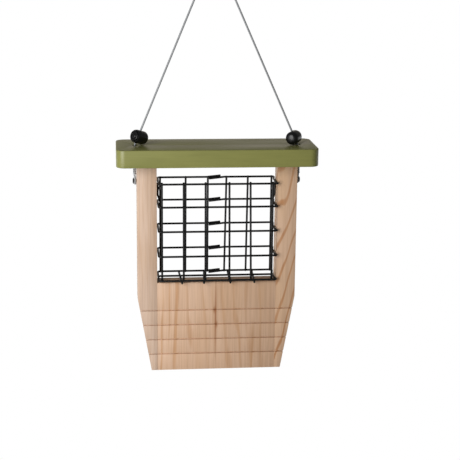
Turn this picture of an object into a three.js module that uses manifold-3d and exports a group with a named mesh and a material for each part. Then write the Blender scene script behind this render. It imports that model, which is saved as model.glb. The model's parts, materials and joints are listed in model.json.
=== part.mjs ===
// Hanging suet feeder: a timber back board with a window, a loose painted roof on a steel hanger
// cable, two spring cord locks that hold the roof down, and a welded wire cage in the window.
// Millimetres, +Z up. X runs across the board, Y from the front of the feeder to its back.
import * as THREE from 'three';
import { mergeVertices } from 'three/addons/utils/BufferGeometryUtils.js';
import Module from 'manifold-3d';

const wasm = await Module();
wasm.setup();

// Timber. Heights are measured from the roof's underside, and depths from the board's front face.
const boardThickness = 19.5;
const boardWidth = 162;
const boardHeight = 217.8;
const windowWidth = 122;
const windowDepth = 123.6;
const taperStart = -140;
const bottomWidth = 134.2;
const jointGap = 0.3;
const grooveHeights = [-153, -168.7, -184.4, -200.1];
const grooveWidth = 1.3;
const grooveDepth = 2;

const roofWidth = 200.5;
const roofDepth = 68.5;
const roofThickness = 17.5;
const roofFront = -23;
const roofShift = -1;
const roofCornerRadius = 9;
const roofEdge = 0.8;

// Hanger cable, its eyes and their fixings.
const cableRadius = 1;
const cableDepth = 8.75;
const footX = 82.1;
const footShift = -0.5;
const peakX = -4;
const peakZ = 207;
const hookBend = 4;
const holeX = 82;
const holeRadius = 2.8;
const legX = 82.9;
const legSpacing = 2.3;
const eyeX = 82.3;
const eyeZ = -18.5;
const eyeRadius = 3;
const ferruleTop = -3.8;
const ferruleLength = 7.9;
const ferruleBore = 1.1;
const ferruleWall = 0.4;
const eyeScrewHead = 3.1;
const eyeScrewShank = 1.7;
const eyeScrewLength = 15;

// Cord locks: a barrel with a bore across it for the cable, and a sprung plunger in its open end.
const lockRadius = 6.7;
const lockBore = 1.5;
const lockTurn = { left: 52, right: 30 };
const lockRise = 0.05;
const lockInside = 5.3;
const plungerRadius = 5;
const plungerBack = -2.6;
const plungerTravel = 2;
const plungerSlot = 3.8;
const springRadius = 3.4;
const springWire = 0.3;

// Wire cage.
const wireRadius = 1.05;
const wireGap = 0.3;
const ringHeights = [-20, -43.6, -68.9, -94.8, -120.3];
const cageFront = -4.8;
const cageBack = 32.2;
const cageSide = 59.3;
const lapHalf = 6;
const lapDrop = 1.95;
const lapRise = 1.65;
const cageEar = 61.2;
// Each upright bar is [x at its top, x at its foot].
const frontBars = [[-56, -56], [-34.2, -34], [-12.2, -11.9], [11.8, 12.8], [33.1, 34.8], [56, 56]];
const backBars = [[-56.5, -56.5], [-30.2, -30.4], [-7.3, -7.4], [11.9, 10.3], [34.1, 33], [58.7, 58.7]];
const floorBars = [-36.4, -12.2, 13.9, 39];
const floorTilt = [1, -3, -1, -2];
const crossBarDepth = 14.5;
const stayDepth = 12;
const stayTop = -21.4;
const cageScrewHead = 2.6;

const steelWire = { color: '#1b1b1c', roughness: 0.5, metalness: 0.1 };
const pine = { color: '#d3b093', roughness: 0.75, metalness: 0 };
const greenPaint = { color: '#8a8a4c', roughness: 0.6, metalness: 0 };
const blackPlastic = { color: '#1a1a1b', roughness: 0.45, metalness: 0 };
const cableSteel = { color: '#9a9c9e', roughness: 0.4, metalness: 0.7 };
const zinc = { color: '#8d8f90', roughness: 0.35, metalness: 0.9 };

const feeder = new THREE.Group();
feeder.name = 'bird_feeder';

// The row's origin is the underside of the cable's bend, where a hook carries the feeder.
const halfSpread = (Math.atan2(footX - footShift + peakX, peakZ - roofThickness)
  + Math.atan2(footX + footShift - peakX, peakZ - roofThickness)) / 2;
const bendTop = peakZ - hookBend / Math.sin(halfSpread) + hookBend;
const hookPoint = new THREE.Vector3(peakX, cableDepth, bendTop - cableRadius);

// Joins a geometry's loose triangles into one closed surface that faces outwards.
function closed(geometry) {
  geometry.deleteAttribute('normal');
  geometry.deleteAttribute('uv');
  const merged = mergeVertices(geometry, 1e-4);
  const p = merged.attributes.position;
  const index = merged.index.array;
  let volume = 0;
  for (let i = 0; i < index.length; i += 3) {
    const [a, b, c] = [0, 1, 2].map((k) => new THREE.Vector3().fromBufferAttribute(p, index[i + k]));
    volume += a.dot(b.cross(c));
  }
  if (volume < 0) {
    for (let i = 0; i < index.length; i += 3) {
      [index[i], index[i + 1]] = [index[i + 1], index[i]];
    }
  }
  return merged;
}

function toSolid(geometry) {
  const g = closed(geometry);
  return new wasm.Manifold(new wasm.Mesh({
    numProp: 3,
    vertProperties: new Float32Array(g.attributes.position.array),
    triVerts: new Uint32Array(g.index.array),
  }));
}

function toGeometry(solid) {
  const m = solid.getMesh();
  const g = new THREE.BufferGeometry();
  g.setAttribute('position', new THREE.BufferAttribute(new Float32Array(m.vertProperties), 3));
  g.setIndex(new THREE.BufferAttribute(new Uint32Array(m.triVerts), 1));
  return g;
}

function cut(geometry, tools) {
  let solid = toSolid(geometry);
  for (const tool of tools) {
    solid = solid.subtract(toSolid(tool));
  }
  return toGeometry(solid);
}

function add(name, geometry, look) {
  const g = geometry.index ? geometry : closed(geometry);
  g.translate(-hookPoint.x, -hookPoint.y, -hookPoint.z);
  const flat = g.toNonIndexed();
  flat.computeVertexNormals();
  const mesh = new THREE.Mesh(flat, new THREE.MeshStandardMaterial(look));
  mesh.name = name;
  feeder.add(mesh);
}

// A route through exactly the given points, so that each becomes one ring of the tube.
class Route extends THREE.Curve {
  constructor(points) {
    super();
    this.points = points;
  }

  getPoint(t) {
    const at = t * (this.points.length - 1);
    const i = Math.min(Math.floor(at), this.points.length - 2);
    return this.points[i].clone().lerp(this.points[i + 1], at - i);
  }

  getPointAt(t) {
    return this.getPoint(t);
  }

  getTangentAt(t) {
    const last = this.points.length - 1;
    const i = Math.round(t * last);
    const before = this.points[Math.max(i - 1, 0)];
    const here = this.points[i];
    const after = this.points[Math.min(i + 1, last)];
    const arrive = here.clone().sub(before).normalize();
    const leave = after.clone().sub(here).normalize();
    return arrive.add(leave).normalize();
  }
}

function tube(points, radius, sides = 8) {
  const section = new THREE.Shape();
  for (let i = 0; i < sides; i += 1) {
    const a = (2 * Math.PI * (i + 0.5)) / sides;
    const [x, y] = [radius * Math.cos(a), radius * Math.sin(a)];
    if (i === 0) section.moveTo(x, y);
    else section.lineTo(x, y);
  }
  section.closePath();
  return closed(new THREE.ExtrudeGeometry(section, {
    steps: points.length - 1,
    extrudePath: new Route(points),
    curveSegments: 1,
  }));
}

function bar(x0, y0, z0, x1, y1, z1, radius = wireRadius) {
  return tube([new THREE.Vector3(x0, y0, z0), new THREE.Vector3(x1, y1, z1)], radius);
}

// Rounds a path's corners: each corner is [x, y, z, radius], and long straight runs are divided.
function rounded(corners, arcSteps, longest = Infinity) {
  const route = [];
  const push = (v) => {
    const last = route[route.length - 1];
    const runs = last ? Math.ceil(last.distanceTo(v) / longest) : 1;
    for (let k = 1; k < runs; k += 1) {
      route.push(last.clone().lerp(v, k / runs));
    }
    route.push(v);
  };
  corners.forEach(([x, y, z, radius], i) => {
    const here = new THREE.Vector3(x, y, z);
    if (!radius) {
      push(here);
      return;
    }
    const back = new THREE.Vector3(...corners[i - 1].slice(0, 3)).sub(here).normalize();
    const ahead = new THREE.Vector3(...corners[i + 1].slice(0, 3)).sub(here).normalize();
    const half = back.angleTo(ahead) / 2;
    const centre = back.clone().add(ahead).normalize().multiplyScalar(radius / Math.sin(half)).add(here);
    const from = back.multiplyScalar(radius / Math.tan(half)).add(here).sub(centre);
    const to = ahead.multiplyScalar(radius / Math.tan(half)).add(here).sub(centre);
    const axis = from.clone().cross(to).normalize();
    const turn = from.angleTo(to);
    for (let k = 0; k <= arcSteps; k += 1) {
      push(from.clone().applyAxisAngle(axis, (turn * k) / arcSteps).add(centre));
    }
  });
  return route;
}

function board(outline, depth, bevel = 0) {
  const shape = new THREE.Shape(outline.map(([x, z]) => new THREE.Vector2(x, z)));
  const g = new THREE.ExtrudeGeometry(shape, {
    depth: depth - 2 * bevel,
    bevelEnabled: bevel > 0,
    bevelThickness: bevel,
    bevelSize: bevel,
    bevelOffset: -bevel,
    bevelSegments: 2,
    curveSegments: 6,
  });
  g.translate(0, 0, bevel);
  return g;
}

// Turned solids: the profile is [radius, distance along the axis], and the axis ends up along +X.
function turned(profile, sides) {
  const g = new THREE.LatheGeometry(profile.map(([r, u]) => new THREE.Vector2(r, u)), sides);
  g.rotateZ(-Math.PI / 2);
  return g;
}

// --- Timber ---

function uprightCutters(side) {
  const screwHole = new THREE.CylinderGeometry(2, 2, eyeScrewLength + 2, 16);
  screwHole.rotateZ(Math.PI / 2);
  screwHole.translate(side * (boardWidth / 2 - eyeScrewLength / 2 + 1), cableDepth, eyeZ);
  const cageHole = new THREE.CylinderGeometry(1.6, 1.6, 10, 12);
  cageHole.rotateZ(Math.PI / 2);
  cageHole.translate(side * (windowWidth / 2 + 3), stayDepth + 2.6, ringHeights[0] - 7.5);
  return [screwHole, cageHole, ...grooveCutters()];
}

function grooveCutters() {
  return grooveHeights.map((z) => {
    const kerf = new THREE.BoxGeometry(boardWidth + 20, 2 * grooveDepth, grooveWidth);
    kerf.translate(0, 0, z);
    return kerf;
  });
}

function standing(outline, depth) {
  const g = board(outline, depth);
  g.rotateX(Math.PI / 2);
  g.translate(0, depth, 0);
  return g;
}

function addTimber() {
  for (const [name, side] of [['left_upright', -1], ['right_upright', 1]]) {
    const inner = side * (windowWidth / 2);
    const outline = [
      [inner, -jointGap],
      [side * (boardWidth / 2), -jointGap],
      [side * (boardWidth / 2), taperStart],
      [side * (bottomWidth / 2), -boardHeight],
      [inner, -boardHeight],
    ];
    add(name, cut(standing(outline, boardThickness), uprightCutters(side)), pine);
  }
  const half = windowWidth / 2 - jointGap;
  const panel = [[-half, -windowDepth], [half, -windowDepth], [half, -boardHeight], [-half, -boardHeight]];
  add('tail_panel', cut(standing(panel, boardThickness), grooveCutters()), pine);
}

function addRoof() {
  const [w, r] = [roofWidth / 2, roofCornerRadius];
  const plan = new THREE.Shape();
  plan.moveTo(-w + r, 0);
  plan.lineTo(w - r, 0);
  plan.absarc(w - r, r, r, -Math.PI / 2, 0);
  plan.lineTo(w, roofDepth - r);
  plan.absarc(w - r, roofDepth - r, r, 0, Math.PI / 2);
  plan.lineTo(-w + r, roofDepth);
  plan.absarc(-w + r, roofDepth - r, r, Math.PI / 2, Math.PI);
  plan.lineTo(-w, r);
  plan.absarc(-w + r, r, r, Math.PI, 1.5 * Math.PI);
  const slab = board(plan.extractPoints(6).shape.map((p) => [p.x, p.y]), roofThickness, roofEdge);
  slab.translate(roofShift, roofFront, 0);
  const holes = [-1, 1].map((side) => {
    const drill = new THREE.CylinderGeometry(holeRadius, holeRadius, roofThickness + 4, 16);
    drill.rotateX(Math.PI / 2);
    drill.translate(side * holeX, cableDepth, roofThickness / 2);
    return drill;
  });
  add('roof', cut(slab, holes), greenPaint);
}

// --- Hanger ---

function eyeEnd(side) {
  const near = cableDepth + legSpacing / 2;
  const far = cableDepth - legSpacing / 2;
  const under = ferruleTop - ferruleLength;
  const points = [ferruleTop + 0.9, (ferruleTop + under) / 2, under - 0.8]
    .map((z) => [side * legX, near, z]);
  for (let a = 40; a <= 320; a += 28) {
    const t = THREE.MathUtils.degToRad(a);
    points.push([side * eyeX, cableDepth + eyeRadius * Math.sin(t), eyeZ + eyeRadius * Math.cos(t)]);
  }
  points.push([side * legX, far, under - 0.8]);
  points.push([side * legX, far, (ferruleTop + under) / 2]);
  points.push([side * legX, far, ferruleTop]);
  points.push([side * 82.7, cableDepth - 0.6, -1]);
  points.push([side * 82.5, cableDepth - 0.1, 2.5]);
  return points;
}

function addCable() {
  const over = [
    [-82.5, cableDepth, 11],
    [footShift - footX, cableDepth, roofThickness, 6],
    [peakX, cableDepth, peakZ, hookBend],
    [footShift + footX, cableDepth, roofThickness, 6],
    [82.1, cableDepth, 11],
  ];
  const corners = [...eyeEnd(-1), ...over, ...eyeEnd(1).reverse()];
  add('hanger_cable', tube(rounded(corners, 5, 9), cableRadius), cableSteel);
}

function addFerrule(name, side) {
  const outer = ferruleBore + ferruleWall;
  const reach = legSpacing / 2;
  const oval = (r) => {
    const s = new THREE.Shape();
    s.absarc(0, reach, r, 0, Math.PI);
    s.absarc(0, -reach, r, Math.PI, 2 * Math.PI);
    return s;
  };
  const section = oval(outer);
  section.holes.push(new THREE.Path(oval(ferruleBore).extractPoints(6).shape.reverse()));
  const g = new THREE.ExtrudeGeometry(section, {
    depth: ferruleLength, bevelEnabled: false, curveSegments: 6,
  });
  g.translate(side * legX, cableDepth, ferruleTop - ferruleLength);
  add(name, g, zinc);
}

function addEyeScrew(name, side) {
  const face = eyeX + cableRadius + wireGap;
  const tip = boardWidth / 2 - eyeScrewLength;
  const profile = [
    [0, tip],
    [eyeScrewShank, tip + 3],
    [eyeScrewShank, face],
    [eyeScrewHead, face],
    [eyeScrewHead - 0.1, face + 0.4],
    [2.4, face + 0.9],
    [1.4, face + 1.3],
    [0, face + 1.4],
  ];
  const g = turned(profile, 16);
  if (side < 0) g.rotateZ(Math.PI);
  g.translate(0, cableDepth, eyeZ);
  add(name, g, zinc);
}

// --- Cord locks ---

// The left barrel stands square to the cable. The right one lies almost level, with its bore aslant.
function lockFrame(side) {
  const foot = new THREE.Vector3(side * footX + footShift, cableDepth, roofThickness);
  const up = new THREE.Vector3(peakX, cableDepth, peakZ).sub(foot).normalize();
  const turn = THREE.MathUtils.degToRad(side < 0 ? lockTurn.left : lockTurn.right);
  const out = new THREE.Vector3(side * Math.sin(turn), side * Math.cos(turn), 0);
  if (side < 0) out.addScaledVector(up, -out.dot(up));
  else out.z = lockRise;
  out.normalize();
  const lean = Math.asin(up.dot(out));
  const square = up.clone().addScaledVector(out, -up.dot(out)).normalize();
  const matrix = new THREE.Matrix4().makeBasis(out, square.clone().cross(out), square);
  return { foot, up, lean, matrix };
}

function lockBody(lean) {
  const profile = [
    [0, -10.6],
    [2.8, -10.4],
    [4.7, -9.7],
    [6, -8.4],
    [lockRadius, -6.4],
    [lockRadius, 2.5],
    [6.4, 4.2],
    [5.9, 5.2],
    [lockInside, 5.2],
    [lockInside, -6.6],
    [0, -6.6],
  ];
  const bore = new THREE.CylinderGeometry(lockBore, lockBore, 3 * lockRadius, 12);
  bore.rotateX(Math.PI / 2);
  bore.rotateY(lean);
  return cut(turned(profile, 24), [bore]);
}

function lockPlunger() {
  const profile = [
    [0, plungerBack],
    [plungerRadius, plungerBack],
    [plungerRadius, 5.7],
    [4.5, 6.2],
    [3.6, 6.2],
    [3.3, 5.6],
    [2.1, 5.6],
    [1.8, 6.2],
    [0, 6.2],
  ];
  const slot = new THREE.BoxGeometry(plungerSlot + plungerTravel, 3, 3 * plungerRadius);
  slot.translate(plungerTravel / 2, 0, 0);
  return cut(turned(profile, 24), [slot]);
}

function lockSpring() {
  const [start, end, turns] = [-6, plungerBack - springWire - 0.25, 3];
  const points = [];
  for (let i = 0; i <= turns * 10; i += 1) {
    const t = (2 * Math.PI * i) / 10;
    const u = start + ((end - start) * i) / (turns * 10);
    points.push(new THREE.Vector3(u, springRadius * Math.cos(t), springRadius * Math.sin(t)));
  }
  return tube(points, springWire, 5);
}

function addLock(prefix, side) {
  const { foot, up, lean, matrix } = lockFrame(side);
  const pieces = {
    lock_body: [lockBody(lean), blackPlastic],
    lock_plunger: [lockPlunger(), blackPlastic],
    lock_spring: [lockSpring(), zinc],
  };
  Object.values(pieces).forEach(([g]) => g.applyMatrix4(matrix));
  const body = pieces.lock_body[0];
  body.computeBoundingBox();
  const rise = (wireGap - body.boundingBox.min.z) / up.z;
  const seat = foot.addScaledVector(up, rise);
  for (const [name, [g, look]] of Object.entries(pieces)) {
    g.translate(seat.x, seat.y, seat.z);
    add(`${prefix}_${name}`, g, look);
  }
}

// --- Cage ---

// A ring's two ends lie one over the other at the middle of the back, a little aslant.
function ringRoute(z) {
  return rounded([
    [-lapHalf, cageBack, z - lapDrop],
    [14, cageBack, z],
    [cageSide + 2.2, cageBack, z, 3],
    [cageSide + 0.2, boardThickness, z],
    [cageSide, 2, z],
    [cageEar, cageFront, z, 1.6],
    [-cageSide, cageFront, z, 3],
    [-cageSide, 2, z],
    [-cageSide, boardThickness, z],
    [-cageSide, cageBack, z, 3],
    [-13, cageBack, z],
    [lapHalf, cageBack, z + lapRise],
  ], 5);
}

function addCage() {
  ringHeights.forEach((z, i) => {
    add(`cage_ring_${i + 1}`, tube(ringRoute(z), wireRadius), steelWire);
  });
  const top = ringHeights[0];
  const floor = ringHeights[4];
  const inside = 2 * wireRadius + wireGap;
  frontBars.forEach(([x, foot], i) => {
    const y = cageFront + inside;
    add(`cage_front_bar_${i + 1}`, bar(x, y, top + 1.5, foot, y, floor - 0.9), steelWire);
  });
  backBars.forEach(([x, foot], i) => {
    const y = cageBack - inside;
    add(`cage_back_bar_${i + 1}`, bar(x, y, top + 1.5, foot, y, floor - 0.6), steelWire);
  });
  floorBars.forEach((x, i) => {
    const z = floor - 2 * wireRadius - 0.1;
    const lean = floorTilt[i] / 2;
    add(`cage_floor_bar_${i + 1}`, bar(x - lean, cageBack + 1.6, z, x + lean, cageFront - 2.6, z), steelWire);
  });
  const reach = cageSide - inside - 0.1;
  add('cage_floor_cross_bar', bar(-reach, crossBarDepth, floor, reach, crossBarDepth, floor), steelWire);
}

function addStay(name, side) {
  const outer = side * (cageSide + 0.4);
  const inner = side * (cageSide - 2 * wireRadius - wireGap);
  const route = rounded([
    [outer, stayDepth, stayTop],
    [outer, stayDepth, ringHeights[1] + 9.5, 8],
    [inner, stayDepth, ringHeights[1] + 3, 3],
    [inner, stayDepth, ringHeights[1] - 2.5],
  ], 4);
  add(name, tube(route, wireRadius), steelWire);
}

function addCageScrew(name, side) {
  const face = cageSide + 0.4 - wireRadius - wireGap;
  const profile = [
    [0, -(windowWidth / 2 + 7)],
    [1.3, -(windowWidth / 2 + 5)],
    [1.3, -face],
    [cageScrewHead, -face],
    [cageScrewHead, -face + 0.6],
    [1.6, -face + 1.4],
    [0, -face + 1.5],
  ];
  const g = turned(profile, 12);
  if (side > 0) g.rotateZ(Math.PI);
  g.translate(0, stayDepth + 2.6, ringHeights[0] - 7.5);
  add(name, g, zinc);
}

addTimber();
addRoof();
addCable();
for (const [prefix, side] of [['left', -1], ['right', 1]]) {
  addFerrule(`${prefix}_ferrule`, side);
  addEyeScrew(`${prefix}_eye_screw`, side);
  addLock(prefix, side);
  addStay(`cage_${prefix}_stay`, side);
  addCageScrew(`${prefix}_cage_screw`, side);
}
addCage();

export default feeder;
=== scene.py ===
# Looks for the hanging suet feeder: a timber board with a window, a loose painted roof on a steel
# cable, two push-button cord locks that hold the roof down, and a black wire cage.
import bmesh
import bpy
import json
import math
from mathutils import Matrix, Quaternion, Vector


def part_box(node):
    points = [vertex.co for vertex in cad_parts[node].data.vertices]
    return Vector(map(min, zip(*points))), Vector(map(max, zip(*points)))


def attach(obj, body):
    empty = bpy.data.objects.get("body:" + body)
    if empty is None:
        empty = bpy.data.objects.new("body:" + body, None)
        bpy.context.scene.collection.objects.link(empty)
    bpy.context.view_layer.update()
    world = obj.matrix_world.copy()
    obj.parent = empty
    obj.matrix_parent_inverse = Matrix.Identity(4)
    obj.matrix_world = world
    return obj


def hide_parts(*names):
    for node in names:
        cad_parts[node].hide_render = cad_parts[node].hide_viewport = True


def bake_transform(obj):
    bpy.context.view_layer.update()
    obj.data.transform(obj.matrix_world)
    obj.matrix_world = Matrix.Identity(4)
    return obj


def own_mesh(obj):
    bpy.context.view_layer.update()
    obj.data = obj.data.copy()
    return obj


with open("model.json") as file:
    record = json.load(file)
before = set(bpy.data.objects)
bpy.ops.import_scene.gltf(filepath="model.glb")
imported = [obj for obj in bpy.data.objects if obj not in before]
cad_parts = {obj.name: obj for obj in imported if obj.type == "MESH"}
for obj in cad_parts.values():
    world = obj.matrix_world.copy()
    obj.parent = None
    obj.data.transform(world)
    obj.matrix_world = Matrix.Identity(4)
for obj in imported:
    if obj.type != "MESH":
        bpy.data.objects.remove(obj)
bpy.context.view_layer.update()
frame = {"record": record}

MM = 0.001
BODY_OF = {n: body for body, nodes in frame["record"]["behaviour"]["bodies"].items() for n in nodes}

# Sizes are in millimetres, from the board's front face and the roof's underside.
BOARD_DEPTH = 19.5
BOARD_HALF = 81
BOARD_BOTTOM = -217.8
WINDOW_HALF = 61
WINDOW_SILL = -123.6
TAPER_TOP = -140
BOTTOM_HALF = 67.1
ROOF_GAP = 0.3
GLUE_LINE = 0.04
GROOVES = (-153, -168.7, -184.4, -200.1)
GROOVE_WIDTH = 1.3
GROOVE_DEPTH = 2
TIMBER_EDGE = 0.2
ROOF_TOP = 17.5
ROOF_CORNER = 9
ROOF_EDGE = 0.9
ROOF_HOLE_X = 82
ROOF_HOLE_RADIUS = 2.8

CABLE_RADIUS = 1
CABLE_DEPTH = 8.75
CABLE_LAY = 13
CABLE_WIRES = 6
VALLEY_DEPTH = 0.07
FEET = {-1: -82.6, 1: 81.6}
IN_HOLES = {-1: -82.5, 1: 82.1}
IN_HOLES_HEIGHT = 11
FOOT_BEND = 6
PEAK = (-4, 207)
HOOK_BEND = 4
LEG_X = 82.9
LEG_SPACING = 2.3
EYE_X = 82.3
EYE_Z = -18.5
EYE_RADIUS = 3
FERRULE_TOP = -3.8
FERRULE_BOTTOM = -11.7
FERRULE_HALF = 1.5
FERRULE_RIM = 0.93
FERRULE_CRIMP = 0.86
CUT_END = 0.9
LEG_BELOW = 0.8

# Head radius, head height, shank radius and length.
EYE_SCREW = (3.1, 1.4, 1.7, 17.6)
CAGE_SCREW = (2.6, 1.5, 1.3, 9.6)
HEAD_OUT = 1.3

LOCK_RADIUS = 6.7
LOCK_INSIDE = 5.3
LOCK_BORE = 1.3
LOCK_TURN = {-1: 52, 1: 30}
LOCK_RISE = 0.05
LOCK_CLEAR = 0.3
BUTTON_RADIUS = 5
BUTTON_BACK = -2.6
BUTTON_TRAVEL = 2
BUTTON_SLOT = 3.8
COIL_BACK = -6.3

WIRE_RADIUS = 1.05
WIRE_SIDES = 14
WIRE_GAP = 0.3
WELD_SINK = 0.4
RING_HEIGHTS = (-20, -43.6, -68.9, -94.8, -120.3)
CAGE_FRONT = -4.8
CAGE_BACK = 32.2
CAGE_SIDE = 59.3
CAGE_EAR = 61.2
LAP_HALF = 6
LAP_DROP = 1.82
LAP_RISE = 1.5
# Each upright bar is (x at its top, x at its foot).
FRONT_BARS = ((-56, -56), (-34.2, -34), (-12.2, -11.9), (11.8, 12.8), (33.1, 34.8), (56, 56))
BACK_BARS = ((-56.5, -56.5), (-30.2, -30.4), (-7.3, -7.4), (11.9, 10.3), (34.1, 33), (58.7, 58.7))
FLOOR_BARS = ((-36.4, 1), (-12.2, -3), (13.9, -1), (39, -2))
CROSS_BAR_DEPTH = 14.5
BAR_ABOVE = 1.5
FRONT_BAR_BELOW = 0.9
BACK_BAR_BELOW = 0.6
STAY_OUT = 0.4
STAY_DEPTH = 12
STAY_TOP = -21.4

roof_low, roof_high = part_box("roof")
panel_low, panel_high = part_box("tail_panel")
ORIGIN = Vector(((panel_low.x + panel_high.x) / 2, panel_low.y, roof_low.z))


def at(x, y, z):
    """A point of the board, in millimetres, as a point of the row frame, in metres."""
    return ORIGIN + Vector((x, y, z)) * MM


# --- Camera ---

CAMERA_PLACE = (-102.8, -1141.3, 216.5)
CAMERA_AZIMUTH, CAMERA_ELEVATION, CAMERA_TIP = -5.798, 13.962, 0.6
FOCAL_LENGTH, SENSOR_WIDTH = 91.07, 36


def add_camera():
    azimuth, elevation = math.radians(CAMERA_AZIMUTH), math.radians(CAMERA_ELEVATION)
    back = Vector((math.sin(azimuth) * math.cos(elevation),
                   -math.cos(azimuth) * math.cos(elevation), math.sin(elevation)))
    data = bpy.data.cameras.new("camera")
    data.lens, data.sensor_width = FOCAL_LENGTH, SENSOR_WIDTH
    camera = bpy.data.objects.new("camera", data)
    bpy.context.scene.collection.objects.link(camera)
    camera.location = at(*CAMERA_PLACE)
    camera.rotation_mode = "QUATERNION"
    tip = Quaternion((0, 0, 1), math.radians(CAMERA_TIP))
    camera.rotation_quaternion = (-back).to_track_quat("-Z", "Y") @ tip
    bpy.context.scene.camera = camera


# --- Materials ---

# The colour mixing node's share, first and second colours, and its colour result.
MIX_SHARE, MIX_BASE, MIX_OVER, MIX_RESULT = 0, 6, 7, 2


def colour(code):
    """An sRGB hex colour as a linear one."""
    parts = [int(code[i:i + 2], 16) / 255 for i in (0, 2, 4)]
    return tuple(p / 12.92 if p <= 0.04045 else ((p + 0.055) / 1.055) ** 2.4 for p in parts) + (1,)


def put(material, kind, values=(), links=(), stops=(), **settings):
    """Adds a node with its settings, ramp stops, socket values and incoming links. A link comes from
    a socket, or from a node's first output."""
    tree = material.node_tree
    made = tree.nodes.new(kind)
    for name, value in settings.items():
        setattr(made, name, value)
    for position, code in stops[1:-1]:
        made.color_ramp.elements.new(position)
    for i, (position, code) in enumerate(stops):
        made.color_ramp.elements[i].position = position
        made.color_ramp.elements[i].color = colour(code)
    for socket, value in values:
        made.inputs[socket].default_value = value
    for socket, source in links:
        tree.links.new(getattr(source, "outputs", [source])[0], made.inputs[socket])
    return made


def opened(name):
    """A material with an empty node tree."""
    material = bpy.data.materials.new(name)
    material.use_nodes = True
    material.node_tree.nodes.clear()
    return material


def per(*cell):
    """Noise scales from the size of its grain in millimetres."""
    return tuple(1 / (c * MM) for c in cell)


# Planed pine, left bare: pale early wood between narrow orange-brown late-wood lines, with fine
# straight fibres. Each board is cut from another place in the log, so each has its own lines. A dark
# mark is (x, z, half width, half height, strength): a long one is a dark streak in the wood, and a short
# one centred on a groove is painted shade in that groove.
RING_SLANT = math.radians(50)  # how the growth rings slant through a board's thickness


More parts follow.
